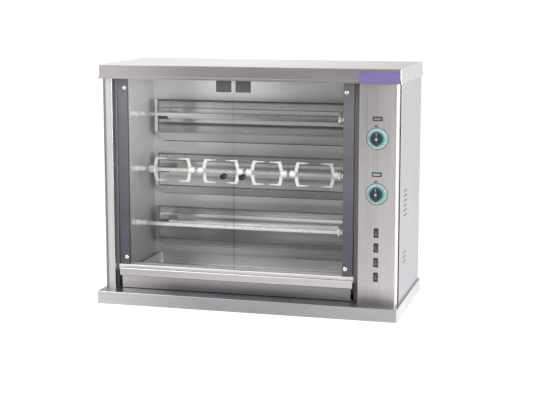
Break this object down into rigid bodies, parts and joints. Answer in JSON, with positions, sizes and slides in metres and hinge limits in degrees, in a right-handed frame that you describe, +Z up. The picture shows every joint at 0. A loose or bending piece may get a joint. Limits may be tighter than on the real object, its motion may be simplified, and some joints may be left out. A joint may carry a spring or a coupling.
{
  "type": "rotisserie oven",
  "caption": "Countertop stainless steel rotisserie oven: glass doors, stacked motor-driven spits with meat forks, rear radiant heaters, slide-out drip tray and a side control column.",
  "frame": {"origin": "centre of the footprint at the feet's lowest faces", "axes": "+X to the right along the width, +Y from the doors to the rear, +Z up; the doors face -Y"},
  "size_m": [1.016, 0.48, 0.8],
  "materials": {
    "case_steel": "brushed",
    "black_plastic": "satin",
    "liner_steel": "bright annealed",
    "panel_steel": "brushed",
    "dial_teal": "gloss",
    "spit_steel": "polished",
    "tray_steel": "brushed",
    "ceramic": "matte",
    "quartz": "satin",
    "rubber": "matte",
    "fork_steel": "polished",
    "motor_metal": "cast",
    "door_glass": "clear",
    "dark_profile": "satin",
    "lens_green": "gloss",
    "reflector_steel": "bright annealed",
    "cover_steel": "satin"
  },
  "bodies": {
    "cabinet": {"base_pan": "case_steel", "cable_gland": "black_plastic", "cavity_back_wall": "liner_steel", "cavity_ceiling": "liner_steel", "cavity_left_wall": "liner_steel", "cavity_right_wall": "liner_steel", "control_panel": "panel_steel", "dial_plates": "dial_teal", "door_magnets": "black_plastic", "door_pivot_pins": "spit_steel", "element_end_caps": "ceramic", "element_lower": "quartz", "element_middle": "quartz", "element_upper": "quartz", "feet": "rubber", "gear_motors": "motor_metal", "header_rail": "case_steel", "left_side_panel": "case_steel", "pilot_frames": "black_plastic", "pilot_lenses": "lens_green", "rear_panel": "case_steel", "reflector_lower": "reflector_steel", "reflector_middle": "reflector_steel", "reflector_upper": "reflector_steel", "regulators": "black_plastic", "right_side_panel": "case_steel", "sill_rail": "case_steel", "spit_bushes": "spit_steel", "switch_frames": "black_plastic", "top_cover": "cover_steel", "tray_rails": "liner_steel"},
    "lower_dial": {"dial_knob_lower": "black_plastic"},
    "upper_dial": {"dial_knob_upper": "black_plastic"},
    "drip_tray": {"drip_tray_front": "tray_steel", "drip_tray_pan": "tray_steel"},
    "lower_spit": {"drive_socket_lower": "spit_steel", "spit_lower": "spit_steel"},
    "middle_spit": {"drive_socket_middle": "spit_steel", "fork_pair_1": "fork_steel", "fork_pair_2": "fork_steel", "fork_pair_3": "fork_steel", "fork_pair_4": "fork_steel", "fork_screws": "fork_steel", "spit_middle": "spit_steel"},
    "upper_spit": {"drive_socket_upper": "spit_steel", "spit_upper": "spit_steel"},
    "left_door": {"left_door_glass": "door_glass", "left_door_knob": "black_plastic", "left_door_stile": "dark_profile", "left_strike_plate": "dark_profile"},
    "right_door": {"right_door_glass": "door_glass", "right_door_knob": "black_plastic", "right_door_stile": "dark_profile", "right_strike_plate": "dark_profile"},
    "switch_key_1": {"rocker_1": "black_plastic"},
    "switch_key_2": {"rocker_2": "black_plastic"},
    "switch_key_3": {"rocker_3": "black_plastic"},
    "switch_key_4": {"rocker_4": "black_plastic"}
  },
  "joints": [
    {"name": "left_door_swing", "type": "hinge", "parent": "cabinet", "child": "left_door", "pos_m": [-0.4545, -0.143, 0.44], "axis": [0, 0, -1], "range_deg": [0, 100]},
    {"name": "right_door_swing", "type": "hinge", "parent": "cabinet", "child": "right_door", "pos_m": [0.3405, -0.143, 0.44], "axis": [0, 0, 1], "range_deg": [0, 100]},
    {"name": "drip_tray_slide", "type": "slide", "parent": "cabinet", "child": "drip_tray", "axis": [0, -1, 0], "range_m": [0, 0.28]},
    {"name": "upper_spit_spin", "type": "hinge", "parent": "cabinet", "child": "upper_spit", "pos_m": [0, -0.01, 0.6225], "axis": [1, 0, 0], "continuous": true},
    {"name": "middle_spit_spin", "type": "hinge", "parent": "cabinet", "child": "middle_spit", "pos_m": [0, -0.01, 0.432], "axis": [1, 0, 0], "continuous": true},
    {"name": "lower_spit_spin", "type": "hinge", "parent": "cabinet", "child": "lower_spit", "pos_m": [0, -0.01, 0.2415], "axis": [1, 0, 0], "continuous": true},
    {"name": "upper_dial_turn", "type": "hinge", "parent": "cabinet", "child": "upper_dial", "pos_m": [0.426, -0.175, 0.579], "axis": [0, 1, 0], "range_deg": [0, 270]},
    {"name": "lower_dial_turn", "type": "hinge", "parent": "cabinet", "child": "lower_dial", "pos_m": [0.426, -0.175, 0.402], "axis": [0, 1, 0], "range_deg": [0, 270]},
    {"name": "switch_key_1_tilt", "type": "hinge", "parent": "cabinet", "child": "switch_key_1", "pos_m": [0.426, -0.172, 0.2765], "axis": [-1, 0, 0], "range_deg": [0, 18]},
    {"name": "switch_key_2_tilt", "type": "hinge", "parent": "cabinet", "child": "switch_key_2", "pos_m": [0.426, -0.172, 0.228], "axis": [-1, 0, 0], "range_deg": [0, 18]},
    {"name": "switch_key_3_tilt", "type": "hinge", "parent": "cabinet", "child": "switch_key_3", "pos_m": [0.426, -0.172, 0.18], "axis": [-1, 0, 0], "range_deg": [0, 18]},
    {"name": "switch_key_4_tilt", "type": "hinge", "parent": "cabinet", "child": "switch_key_4", "pos_m": [0.426, -0.172, 0.1325], "axis": [-1, 0, 0], "range_deg": [0, 18]}
  ]
}
